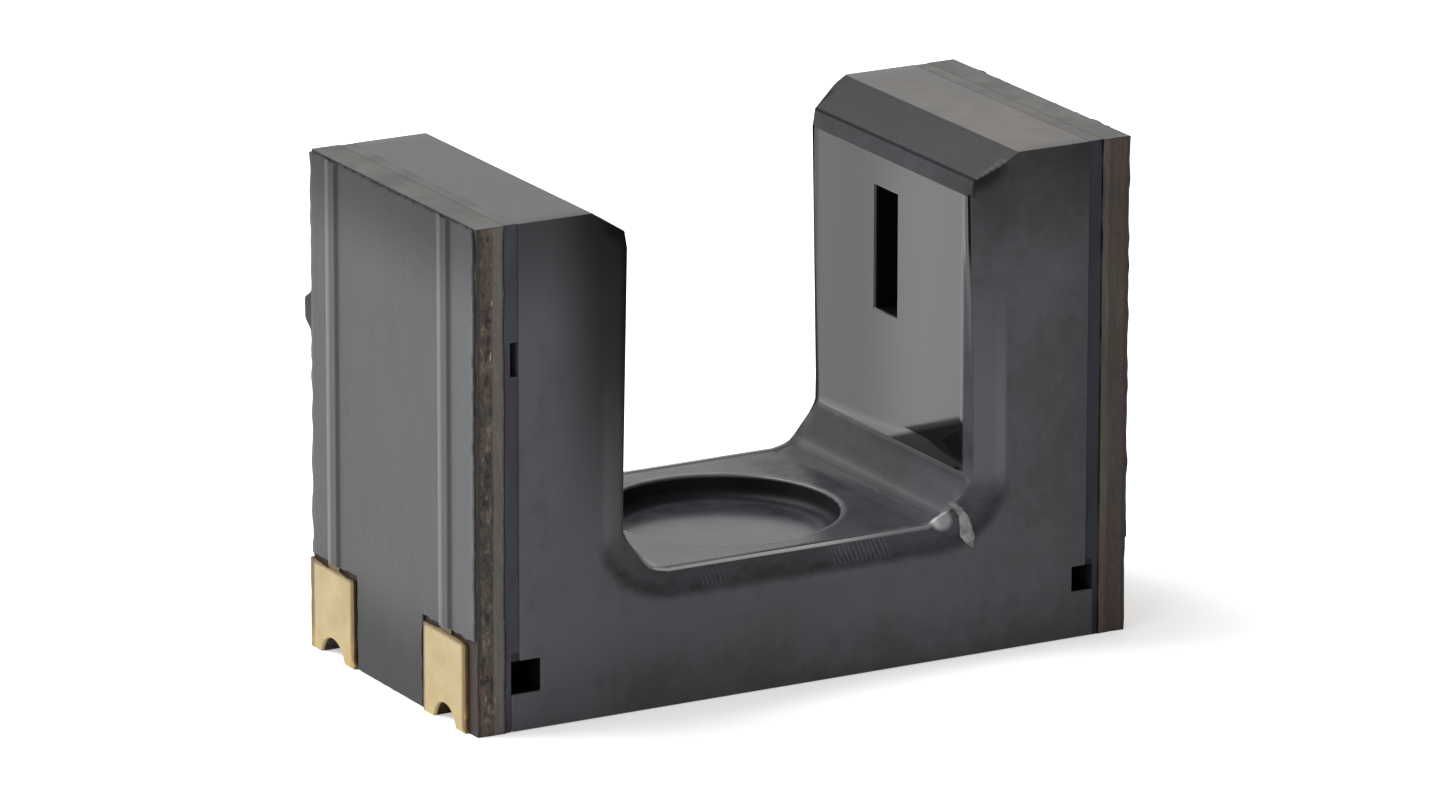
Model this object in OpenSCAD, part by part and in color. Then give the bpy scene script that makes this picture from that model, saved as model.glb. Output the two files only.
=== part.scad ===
// Slotted optical switch, surface mount.
// A moulded U case with a board on each end: the left board emits across the slot, the right one detects.
// X runs across the slot, the front face looks along -Y, Z is up.
// The origin is the centre of the underside.

/* [Body] */
// Width over both boards, across the slot
body_w = 5.8; // [5.5:0.05:6.6]
// Depth from the front face to the back face
body_d = 2.7; // [2.5:0.05:3.4]
// Height of the arms above the underside
body_h = 4.0; // [3.85:0.05:5]

/* [Slot] */
// Width of the slot between the arms
slot_w = 3.0; // [2.4:0.05:3.1]
// Height of the slot floor above the underside
floor_h = 1.05; // [0.85:0.05:1.3]
// Radius of the round corners at the slot floor
corner_r = 0.36; // [0.2:0.02:0.5]
// Width of the slope on top of each arm
slope_w = 0.34; // [0.2:0.02:0.44]
// Height of the slope on top of each arm
slope_h = 0.21; // [0.14:0.01:0.3]
// Width of the steep band under the slope
band_w = 0.03; // [0.01:0.01:0.05]
// Height of the steep band under the slope
band_h = 0.14; // [0.05:0.01:0.16]
// Width of the bevel at the slot mouth, on the arms
mouth_w = 0.27; // [0.1:0.01:0.34]
// Height of the bevel at the slot mouth, under the floor
mouth_h = 0.15; // [0.06:0.01:0.24]
// Depth of the bevel at the slot mouth
mouth_depth = 0.12; // [0.05:0.01:0.2]
// Diameter of the round dish in the slot floor
dish_d = 1.86; // [1.2:0.02:2.1]
// Depth of the round dish in the slot floor
dish_depth = 0.18; // [0.05:0.01:0.3]

/* [Apertures] */
// Width of each light slit
slit_w = 0.36; // [0.2:0.01:0.5]
// Height of each light slit
slit_h = 1.0; // [0.6:0.05:1.2]
// Drop from the top of the arm to the middle of the slit
slit_drop = 1.09; // [0.95:0.01:1.25]
// How far the light path sits towards the rear
slit_shift = 0.06; // [0:0.01:0.1]
// Thickness of the arm wall that the slit passes through
slit_wall = 0.35; // [0.25:0.01:0.4]
// Width of the chamber behind each slit
chamber_w = 1.3; // [1:0.05:1.5]
// Height of the chamber behind each slit
chamber_h = 1.36; // [1.26:0.02:1.46]

/* [Foot pockets] */
// Height of the left pockets
pocket_h = 0.26; // [0.15:0.01:0.3]
// Width of the left pockets, inwards from the end of the case
pocket_w = 0.18; // [0.08:0.01:0.25]
// Height of the left pockets' lower wall above the underside
pocket_z = 0.3; // [0.2:0.01:0.4]
// Height of the right pockets, which are smaller
right_pocket_h = 0.2; // [0.12:0.01:0.3]
// Width of the right pockets, inwards from the end of the case
right_pocket_w = 0.12; // [0.08:0.01:0.25]
// Height of the right pockets' lower wall above the underside
right_pocket_z = 0.38; // [0.3:0.01:0.45]
// How far each pocket runs in from the front or back face
pocket_depth = 0.36; // [0.2:0.01:0.4]
// How far the case's foot stands out towards the board, below the pockets
foot_out = 0.07; // [0.03:0.01:0.09]

/* [Boards] */
// Thickness of the glass epoxy board
board_t = 0.24; // [0.2:0.01:0.3]
// Thickness of the bond film between board and case
film_t = 0.12; // [0.1:0.01:0.15]
// How far the film stays back from the front and back faces
film_back = 0.015; // [0.005:0.005:0.06]
// How far the pockets and the gap reach into the film's thickness
film_notch = 0.07; // [0.03:0.01:0.08]
// Height of the gap in the left film
gap_h = 0.27; // [0.1:0.01:0.4]
// Depth of the gap in the left film, behind the film's front edge
gap_depth = 0.2; // [0.1:0.01:0.25]
// Height of the middle of that gap above the underside
gap_z = 2.94; // [2.5:0.02:3.2]
// Thickness of the solder mask on bare board
mask_t = 0.025; // [0.02:0.001:0.035]
// Thickness of the solder mask over a track
mask_over = 0.02; // [0.01:0.001:0.03]
// How far the mask stays back from the board's top edge
mask_back = 0.04; // [0.01:0.01:0.08]
// Bare border between mask and terminal
mask_gap = 0.04; // [0.01:0.01:0.08]
// Height of the break-off nub on the left board's rear edge
nub_h = 0.32; // [0.2:0.01:0.5]
// How far the nub stands out
nub_out = 0.12; // [0.04:0.01:0.14]
// Height of the nub's middle above the underside
nub_z = 2.72; // [2.2:0.02:3.2]

/* [Terminals] */
// Width of each terminal
pad_w = 0.68; // [0.54:0.02:0.7]
// Height of each terminal
pad_h = 0.72; // [0.5:0.02:0.9]
// Thickness of a terminal's plating
pad_t = 0.035; // [0.025:0.001:0.04]
// Distance between the middles of the two terminals of a board
pad_pitch = 1.84; // [1.7:0.02:1.84]
// How far both terminals sit towards the rear
pad_shift = 0.055; // [0:0.005:0.055]
// Radius of the half hole in the board
hole_r = 0.21; // [0.14:0.01:0.24]
// How far the half hole's centre lies under the underside
hole_drop = 0.03; // [0.01:0.01:0.06]
// Thickness of the plating in the half hole
hole_t = 0.025; // [0.015:0.001:0.035]
// Width of the copper track above each terminal
track_w = 0.17; // [0.1:0.01:0.24]
// Thickness of the copper track
track_t = 0.02; // [0.015:0.001:0.025]
// Drop from the board's top edge to the track's upper end
track_drop = 0.1; // [0.05:0.01:0.2]

/* [Chips] */
// Side of the emitting chip
emitter_w = 0.28; // [0.2:0.01:0.4]
// Side of the detecting chip
detector_w = 0.44; // [0.3:0.01:0.48]
// Thickness of either chip
chip_t = 0.15; // [0.1:0.01:0.18]
// Thickness of the paste under a chip
paste_t = 0.015; // [0.01:0.001:0.02]
// How far the paste shows round a chip
paste_rim = 0.02; // [0.01:0.005:0.03]
// Side of the land that carries a chip
land_w = 0.56; // [0.54:0.01:0.6]
// Thickness of the lands on the inner face of a board
land_t = 0.02; // [0.015:0.001:0.025]
// Width of the land that takes the wire, and of the conductors to the half holes
lead_w = 0.2; // [0.12:0.01:0.2]
// Diameter of the bond wire
wire_d = 0.03; // [0.02:0.001:0.035]
// Distance from the middle of the chip to the wire's far end
wire_reach = 0.46; // [0.44:0.01:0.48]
// Straight rise of the wire above the chip
wire_rise = 0.05; // [0.04:0.005:0.08]

/* [Hidden] */
$fn = 64;

// Overlap of a cutting tool past the face that it cuts
cut = 0.05;
// Steps in each round corner at the slot floor
corner_steps = 10;

// The end of the case, and the planes of each layer outside it, as distances from the middle
mask_face = body_w / 2;
board_outer = mask_face - track_t - mask_over;
board_inner = board_outer - board_t;
case_end = board_inner - film_t;
slot_half = slot_w / 2;
chamber_floor = slot_half + slit_wall;
slit_z = body_h - slit_drop;
slit_y = slit_shift;

// Terminal and conductor places along Y
front_y = pad_shift - pad_pitch / 2;
rear_y = pad_shift + pad_pitch / 2;
track_reach = track_w + 2 * mask_over;

// Levels of the chip stack, as distances inwards from the board's inner face
paste_base = land_t;
chip_base = paste_base + paste_t;
chip_top = chip_base + chip_t;
loop_base = chip_top + wire_rise;
loop_r = wire_reach / 2;
ball_r = wire_d * 1.2;
ball_h = wire_d * 0.6;

// A flat shape drawn as (Y, Z), raised along X from the distance x0 by the thickness t
module sheet(x0, t) {
    translate([x0, 0, 0])
        rotate([90, 0, 90])
            linear_extrude(height = t)
                children();
}

// The same solid for the left end, or for the right end as drawn
module at_end(left) {
    if (left)
        mirror([1, 0, 0])
            children();
    else
        children();
}

// A rectangle drawn from its middle line at y, between two heights
module strip(y, w, z0, z1) {
    translate([y - w / 2, z0])
        square([w, z1 - z0]);
}

// A round corner's points, turning from the angle a0 through a right angle
function corner_points(x, z, r, a0) = [
    for (i = [0 : corner_steps])
        let (a = a0 + 90 * i / corner_steps)
        [x + r * cos(a), z + r * sin(a)]
];

// The slot with its round corners, drawn as (X, Z); grow = 1 is the mouth's outline at the face
function slot_points(grow) =
    let (half = slot_half + mouth_w * grow)
    let (low = floor_h - mouth_h * grow)
    let (r = corner_r + mouth_h * grow)
    concat(
        [[half, body_h + cut], [-half, body_h + cut]],
        corner_points(r - half, low + r, r, 180),
        corner_points(half - r, low + r, r, 270)
    );

// The sloped top of one arm, drawn as (X, Z) on the right
module slope_outline() {
    low = body_h - slope_h;
    polygon([
        [slot_half - cut, low - band_h],
        [slot_half, low - band_h],
        [slot_half + band_w, low],
        [slot_half + band_w + slope_w, body_h],
        [slot_half + band_w + slope_w, body_h + cut],
        [slot_half - cut, body_h + cut]
    ]);
}

// A thin slice of the slot's bevel, at its depth behind the front face
module mouth_slice(grow) {
    thin = 0.001;
    translate([0, mouth_depth * (1 - grow) - body_d / 2, 0])
        rotate([90, 0, 0])
            linear_extrude(height = thin)
                polygon(slot_points(grow));
}

// The bevel at the slot mouth, cut into the front face and straight up through the arms' slopes
module mouth_bevel() {
    hull() {
        mouth_slice(0);
        mouth_slice(1 + cut / mouth_depth);
    }
}

// One moulded piece: two arms on a base, with slits, chambers and foot pockets
module case_body() {
    difference() {
        union() {
            translate([-case_end, -body_d / 2, 0])
                cube([2 * case_end, body_d, body_h]);
            translate([-case_end - foot_out, -body_d / 2, 0])
                cube([case_end + foot_out, body_d, pocket_z]);
            translate([0, -body_d / 2, 0])
                cube([case_end + foot_out, body_d, right_pocket_z]);
        }
        translate([0, body_d / 2 + cut, 0])
            rotate([90, 0, 0])
                linear_extrude(height = body_d + 2 * cut) {
                    polygon(slot_points(0));
                    slope_outline();
                    mirror([1, 0])
                        slope_outline();
                }
        for (face = [0, 1])
            mirror([0, face, 0])
                mouth_bevel();
        translate([0, 0, floor_h - dish_depth])
            cylinder(d = dish_d, h = dish_depth + cut);
        at_end(true) {
            arm_cuts();
            sheet(case_end - pocket_w, pocket_w + cut)
                pocket_outline(pocket_z, pocket_h);
        }
        at_end(false) {
            arm_cuts();
            sheet(case_end - right_pocket_w, right_pocket_w + cut)
                pocket_outline(right_pocket_z, right_pocket_h);
        }
    }
}

// The slit and the chamber of the right arm
module arm_cuts() {
    sheet(slot_half - cut, slit_wall + 2 * cut)
        strip(slit_y, slit_w, slit_z - slit_h / 2, slit_z + slit_h / 2);
    sheet(chamber_floor, case_end - chamber_floor + cut)
        chamber_outline();
}

// The square pockets at the front and back edges, drawn as (Y, Z)
module pocket_outline(z, h) {
    for (side = [-1, 1])
        strip(side * (body_d + cut - pocket_depth) / 2, pocket_depth + cut, z, z + h);
}

module chamber_outline() {
    strip(slit_y, chamber_w, slit_z - chamber_h / 2, slit_z + chamber_h / 2);
}

// The board's outline, with its two half holes at the bottom edge
module board_outline() {
    difference() {
        strip(0, body_d, 0, body_h);
        half_holes(hole_r);
    }
}

module half_holes(r) {
    for (y = [front_y, rear_y])
        translate([y, -hole_drop])
            circle(r = r);
}

// The nub left where the board was broken out of its panel, drawn as (Y, Z)
module nub_outline() {
    low = nub_z - nub_h / 2;
    polygon([
        [body_d / 2 - cut, low],
        [body_d / 2, low],
        [body_d / 2 + nub_out, low + nub_h / 4],
        [body_d / 2 + nub_out, nub_z],
        [body_d / 2 + nub_out * 0.7, nub_z + nub_h / 3],
        [body_d / 2, nub_z + nub_h / 2],
        [body_d / 2 - cut, nub_z + nub_h / 2]
    ]);
}

module board(has_nub) {
    sheet(board_inner, board_t) {
        board_outline();
        if (has_nub)
            nub_outline();
    }
}

// The whole copper outline of one terminal, without its track
module terminal_outline(y) {
    difference() {
        strip(y, pad_w, 0, pad_h);
        translate([y, -hole_drop])
            circle(r = hole_r - hole_t);
    }
}

// A terminal: outer pad, lining of the half hole, and the track that runs up the board
module terminal(y) {
    sheet(board_outer, pad_t)
        terminal_outline(y);
    sheet(board_outer, track_t)
        strip(y, track_w, pad_h - cut, body_h - track_drop);
    sheet(board_inner, board_t)
        hole_lining(y);
}

module hole_lining(y) {
    intersection() {
        translate([y, -hole_drop])
            difference() {
                circle(r = hole_r);
                circle(r = hole_r - hole_t);
            }
        strip(y, 3 * hole_r, 0, body_h);
    }
}

// Solder mask on bare board, open round the terminals
module mask_outline() {
    difference() {
        strip(0, body_d, mask_gap / 2, body_h - mask_back);
        mask_opening(front_y, -1);
        mask_opening(rear_y, 1);
    }
}

// The opening reaches from the terminal's inner side to the board's edge
module mask_opening(y, side) {
    inner = y - side * (pad_w / 2 + mask_gap);
    outer = side * (body_d / 2 + cut);
    translate([min(inner, outer), -cut])
        square([abs(outer - inner), pad_h + mask_gap + cut]);
}

// The rounded ridge that the mask makes over a track, seen from above
module ridge(y) {
    low = pad_h + mask_gap;
    translate([0, 0, low])
        linear_extrude(height = body_h - mask_back / 2 - low)
            polygon([
                [board_outer, y - track_reach / 2 - mask_over],
                [board_outer + mask_t, y - track_reach / 2],
                [mask_face - mask_over / 4, y - track_w / 2],
                [mask_face, y - track_w / 4],
                [mask_face, y + track_w / 4],
                [mask_face - mask_over / 4, y + track_w / 2],
                [board_outer + mask_t, y + track_reach / 2],
                [board_outer, y + track_reach / 2 + mask_over]
            ]);
}

module mask() {
    difference() {
        union() {
            sheet(board_outer, mask_t)
                mask_outline();
            ridge(front_y);
            ridge(rear_y);
        }
        for (y = [front_y, rear_y])
            sheet(board_outer - cut, track_t + cut)
                strip(y, track_w, 0, body_h - track_drop);
    }
}

// The film between case and board, round the chamber, over the foot and clear of the conductors
module bond_film(z, h, has_gap) {
    difference() {
        sheet(case_end, film_t)
            difference() {
                strip(0, body_d - 2 * film_back, 0, body_h);
                chamber_outline();
            }
        sheet(case_end - cut, foot_out + cut)
            strip(0, body_d, -cut, z);
        sheet(case_end - cut, film_notch + cut) {
            pocket_outline(z, h);
            if (has_gap)
                translate([film_back - body_d / 2 - cut, gap_z - gap_h / 2])
                    square([gap_depth + cut, gap_h]);
        }
        die_land();
        wire_land();
    }
}

// A conductor on the board's inner face: across at height z from the light path, then down to a half hole
module lead_outline(y, z) {
    translate([y < slit_y ? y - lead_w / 2 : slit_y, z - lead_w / 2])
        square([abs(y - slit_y) + lead_w / 2, lead_w]);
    difference() {
        strip(y, lead_w, hole_drop, z + lead_w / 2);
        translate([y, -hole_drop])
            circle(r = hole_r - hole_t);
    }
}

// The land that carries the chip, led to the front terminal
module die_land() {
    sheet(board_inner - land_t, land_t) {
        strip(slit_y, land_w, slit_z - land_w / 2, slit_z + land_w / 2);
        lead_outline(front_y, slit_z);
    }
}

// The land that takes the wire, led to the rear terminal
module wire_land() {
    sheet(board_inner - land_t, land_t) {
        strip(slit_y, 2 * lead_w, slit_z + wire_reach - lead_w / 2, slit_z + wire_reach + lead_w / 2);
        lead_outline(rear_y, slit_z + wire_reach);
    }
}

// A square slab in front of the board's inner face, between two levels
module slab(w, base, t) {
    sheet(board_inner - base - t, t)
        strip(slit_y, w, slit_z - w / 2, slit_z + w / 2);
}

module paste(w) {
    slab(w + 2 * paste_rim, paste_base, paste_t);
}

module chip(w) {
    slab(w, chip_base, chip_t);
}

// A round bar along X at height z, between two levels
module bar(r, z, base, top) {
    translate([board_inner - top, slit_y, z])
        rotate([0, 90, 0])
            cylinder(r = r, h = top - base);
}

// The wire: ball on the chip, a loop, and a foot on its land
module bond_wire() {
    bar(ball_r, slit_z, chip_top, chip_top + ball_h);
    bar(wire_d / 2, slit_z, chip_top, loop_base);
    bar(wire_d / 2, slit_z + wire_reach, land_t, loop_base);
    bar(ball_r, slit_z + wire_reach, land_t, land_t + ball_h);
    translate([board_inner - loop_base, slit_y, slit_z + loop_r])
        rotate([90, 90, 0])
            rotate_extrude(angle = -180)
                translate([loop_r, 0])
                    circle(d = wire_d);
}

// Clear resin that fills the chamber round the chip and the wire
module resin(chip_w) {
    difference() {
        sheet(chamber_floor, board_inner - chamber_floor)
            chamber_outline();
        die_land();
        wire_land();
        paste(chip_w);
        chip(chip_w);
        bond_wire();
    }
}

module case() {
    color("#343337")
        case_body();
}

module emitter_board() {
    color("#6b5c4c")
        at_end(true)
            board(true);
}

module detector_board() {
    color("#6b5c4c")
        board(false);
}

module emitter_mask() {
    color("#4c4c51")
        at_end(true)
            mask();
}

module detector_mask() {
    color("#4c4c51")
        mask();
}

module emitter_terminal_front() {
    color("#dcc58c")
        at_end(true)
            terminal(front_y);
}

module emitter_terminal_rear() {
    color("#dcc58c")
        at_end(true)
            terminal(rear_y);
}

module detector_terminal_front() {
    color("#dcc58c")
        terminal(front_y);
}

module detector_terminal_rear() {
    color("#dcc58c")
        terminal(rear_y);
}

module emitter_bond_film() {
    color("#2a2b33")
        at_end(true)
            bond_film(pocket_z, pocket_h, true);
}

module detector_bond_film() {
    color("#2a2b33")
        bond_film(right_pocket_z, right_pocket_h, false);
}

module emitter_die_land() {
    color("#c98f5a")
        at_end(true)
            die_land();
}

module emitter_wire_land() {
    color("#c98f5a")
        at_end(true)
            wire_land();
}

module detector_die_land() {
    color("#c98f5a")
        die_land();
}

module detector_wire_land() {
    color("#c98f5a")
        wire_land();
}

module emitter_paste() {
    color("#b9bcc0")
        at_end(true)
            paste(emitter_w);
}

module detector_paste() {
    color("#b9bcc0")
        paste(detector_w);
}

module emitter_chip() {
    color("#8a6f9c")
        at_end(true)
            chip(emitter_w);
}

module detector_chip() {
    color("#4b5a78")
        chip(detector_w);
}

module emitter_wire() {
    color("#e3bf5a")
        at_end(true)
            bond_wire();
}

module detector_wire() {
    color("#e3bf5a")
        bond_wire();
}

module emitter_resin() {
    color("#2b1a1c")
        at_end(true)
            resin(emitter_w);
}

module detector_resin() {
    color("#2b1a1c")
        resin(detector_w);
}

case();
emitter_board();
detector_board();
emitter_mask();
detector_mask();
emitter_terminal_front();
emitter_terminal_rear();
detector_terminal_front();
detector_terminal_rear();
emitter_bond_film();
detector_bond_film();
emitter_die_land();
emitter_wire_land();
detector_die_land();
detector_wire_land();
emitter_paste();
detector_paste();
emitter_chip();
detector_chip();
emitter_wire();
detector_wire();
emitter_resin();
detector_resin();
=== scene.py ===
import bpy
import math
from mathutils import Matrix, Vector, noise


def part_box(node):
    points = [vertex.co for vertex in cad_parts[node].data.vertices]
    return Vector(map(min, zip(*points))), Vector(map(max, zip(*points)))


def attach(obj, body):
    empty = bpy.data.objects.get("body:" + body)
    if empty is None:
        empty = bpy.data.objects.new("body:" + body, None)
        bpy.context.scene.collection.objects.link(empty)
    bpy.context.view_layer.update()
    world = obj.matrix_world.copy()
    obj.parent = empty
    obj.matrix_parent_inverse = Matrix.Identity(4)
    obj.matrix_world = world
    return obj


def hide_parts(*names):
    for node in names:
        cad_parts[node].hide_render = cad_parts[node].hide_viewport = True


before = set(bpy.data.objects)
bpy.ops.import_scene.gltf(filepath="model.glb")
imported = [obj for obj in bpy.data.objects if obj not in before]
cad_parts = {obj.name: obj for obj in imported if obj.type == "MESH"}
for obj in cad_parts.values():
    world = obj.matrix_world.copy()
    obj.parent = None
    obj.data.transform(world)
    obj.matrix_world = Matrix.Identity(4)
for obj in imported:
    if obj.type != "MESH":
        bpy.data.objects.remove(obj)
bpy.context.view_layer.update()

# Slotted optical switch: moulded black U case, a glass epoxy board on each end,
# black solder mask with ridges over the tracks, gold half-hole terminals.
# Lengths below are millimetres until a function turns them into metres.

MM = 0.001

# Sizes read from the frame
case_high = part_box("case")[1] / MM
board_low, board_high = (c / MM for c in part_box("detector_board"))
front_pad_low, front_pad_high = (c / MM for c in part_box("detector_terminal_front"))
rear_pad_low, rear_pad_high = (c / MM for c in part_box("detector_terminal_rear"))
HALF_DEPTH = case_high.y
HEIGHT = case_high.z
BOARD_INNER = board_low.x
BOARD_FACE = board_high.x
MASK_FACE = (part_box("detector_mask")[1] / MM).x
FRONT_Y = (front_pad_low.y + front_pad_high.y) / 2
REAR_Y = (rear_pad_low.y + rear_pad_high.y) / 2
PAD_HALF = (front_pad_high.y - front_pad_low.y) / 2

# The case ends at a film of this thickness, which bonds the board to it
FILM_T = 0.12
CASE_END = BOARD_INNER - FILM_T

# The slot, its round lower corners and the dish in its floor
SLOT_HALF = 1.5
FLOOR_Z = 1.05
CORNER_R = 0.36
DISH_R = 0.93
DISH_DEPTH = 0.18

# The slopes at the top of the slot, which start behind a narrow ledge on a flat band
BAND_FOOT = 3.65
BAND_WIDTH = 0.03
SLOPE_FOOT = 3.79
SLOPE_WIDTH = 0.34
SLOPE_IN = SLOT_HALF + BAND_WIDTH
SLOPE_RISE = (HEIGHT - SLOPE_FOOT) / SLOPE_WIDTH

# The bevels at the slot's mouths: their size, where they start, their outer side and lower end
MOUTH_DEPTH = 0.12
MOUTH_WIDTH = 0.27
MOUTH_HEIGHT = 0.15
MOUTH_Y = HALF_DEPTH - MOUTH_DEPTH
MOUTH_SIDE = SLOT_HALF + MOUTH_WIDTH
MOUTH_FOOT = FLOOR_Z - MOUTH_HEIGHT

# The terminals' upper edge, the mask round them, and its ridges over the tracks
PAD_TOP = 0.72
MASK_T = 0.025
MASK_GAP = 0.04
MASK_BACK = 0.012
RIDGE_HALF = 0.1
RIDGE_SOFT = 0.03

# The openings that are painted black as shade: light slits and the pockets at the case's foot
SLIT_REACH = 0.25
SLIT_LOW = 2.4
SLIT_HIGH = 3.42
POCKET_LOW = 0.27
POCKET_HIGH = 0.6

# The middle of each round corner at the slot floor, and the flat band that the mould leaves there
CORNER_X = SLOT_HALF - CORNER_R
CORNER_Z = FLOOR_Z + CORNER_R
BAND_START = math.radians(36)
BAND_END = math.radians(90)

# The border that the mould leaves inside the mouth: a steep strip on each wall, a bead on the floor
STRIP_WIDTH = 0.09
STRIP_SET = 0.04
BEAD_WIDTH = 0.04
BEAD_RISE = 0.022
LINE_WIDTH = 0.045
LINE_SET = 0.010
RECESS_MIDDLE = 0.02
RECESS_HALF = 0.015
RECESS_SET = 0.035

# How far behind the mouth the surface is cut, to carry that border
BORDER_LEVELS = (0.14, 0.12, 0.10, 0.09, 0.085, 0.074, 0.062, 0.05, 0.04, 0.03, 0.02, 0.01)

# The lips at both sides of the band in a round corner, the upper one lower, and the groove at its foot
LIP_HALF = 0.026
LIP_RISE = 0.010
GROOVE_HALF = 0.02
GROOVE_SET = 0.006
UPPER_LIP = 0.4

# Where the surface is cut to carry them, in half lips, with more cuts below the band and above it
LIP_STEPS = (-1, -0.7, -0.35, 0, 0.35, 0.7, 1)
CUTS_BELOW = 6
STEPS_ABOVE = (1.5, 2.0, 2.5)

# The blob where the bead meets the lower lip
BLOB_X = 1.27
BLOB_Y = 1.215
BLOB_Z = 1.09
BLOB_R = 0.105
BLOB_RISE = 0.035


# Camera, fitted to the corners seen in the photo

CAMERA_YAW = math.radians(-29.18)
CAMERA_PITCH = math.radians(16.24)
CAMERA_ROLL = math.radians(0.10)
CAMERA_DISTANCE = 86.26
CAMERA_ASIDE = 0.038
CAMERA_ABOVE = 1.852
PIXELS_PER_MM = 128.06
FRAME_WIDTH = 1432
SENSOR = 36.0
NEAREST = 1
FARTHEST = 4000


def make_camera():
    """The camera at the photo's angle."""
    data = bpy.data.cameras.new("camera")
    camera = bpy.data.objects.new("camera", data)
    bpy.context.collection.objects.link(camera)
    data.sensor_width = SENSOR
    data.lens = PIXELS_PER_MM * CAMERA_DISTANCE / FRAME_WIDTH * SENSOR
    data.clip_start = NEAREST * MM
    data.clip_end = FARTHEST * MM
    back = Vector((
        math.sin(CAMERA_YAW) * math.cos(CAMERA_PITCH),
        -math.cos(CAMERA_YAW) * math.cos(CAMERA_PITCH),
        math.sin(CAMERA_PITCH),
    ))
    right = Vector((math.cos(CAMERA_YAW), math.sin(CAMERA_YAW), 0))
    turn = Matrix((right, back.cross(right), back))
    turn = Matrix.Rotation(-CAMERA_ROLL, 3, "Z") @ turn
    turn.transpose()
    place = turn @ Vector((-CAMERA_ASIDE, CAMERA_ABOVE, CAMERA_DISTANCE)) * MM
    camera.matrix_world = Matrix.Translation(place) @ turn.to_4x4()
    bpy.context.scene.camera = camera


# Shader expressions

class Wire:
    """A shader socket that takes part in Python expressions."""

    def __init__(self, net, socket):
        self.net = net
        self.socket = socket

    def math(self, operation, *values):
        return self.net.node("Math", {"operation": operation}, values)

    def __add__(self, other):
        return self.math("ADD", self, other)

    __radd__ = __add__

    def __sub__(self, other):
        return self.math("SUBTRACT", self, other)

    def __rsub__(self, other):
        return self.math("SUBTRACT", other, self)

    def __mul__(self, other):
        return self.math("MULTIPLY", self, other)

    __rmul__ = __mul__

    def __abs__(self):
        return self.math("ABSOLUTE", self)

    def upper(self, other):
        return self.math("MAXIMUM", self, other)

    def sine(self):
        return self.math("SINE", self)

    def root(self):
        return self.math("SQRT", self)

    def ramp(self, low, high):
        """0 below low, 1 above high, smooth between them. low may be the larger one."""
        if low > high:
            return 1 - self.ramp(high, low)
        settings = {"interpolation_type": "SMOOTHSTEP"}
        return self.net.node("MapRange", settings, {"Value": self, "From Min": low, "From Max": high})

    def band(self, low, high, soft):
        """1 between low and high, falling to 0 over soft outside them."""
        return self.ramp(low - soft, low) * self.ramp(high + soft, high)


class Net:
    """A node tree that is written as expressions."""

    def __init__(self, tree):
        self.tree = tree

    def link(self, value, socket):
        self.tree.links.new(value.socket, socket)

    def node(self, kind, settings, values, output=0):
        """Adds a node, makes its settings, then sets or links its sockets."""
        node = self.tree.nodes.new("ShaderNode" + kind)
        for key, value in settings.items():
            setattr(node, key, value)
        pairs = values.items() if isinstance(values, dict) else enumerate(values)
        for key, value in pairs:
            if isinstance(value, Wire):
                self.link(value, node.inputs[key])
            else:
                node.inputs[key].default_value = value
        return Wire(self, node.outputs[output])

    def seen(self):
        """1 for what the camera, a glossy surface or a clear one sees."""
        rays = ("Is Camera Ray", "Is Glossy Ray", "Is Transmission Ray")
        camera, glossy, clear = (self.node("LightPath", {}, {}, ray) for ray in rays)
        return camera.upper(glossy).upper(clear)


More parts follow.
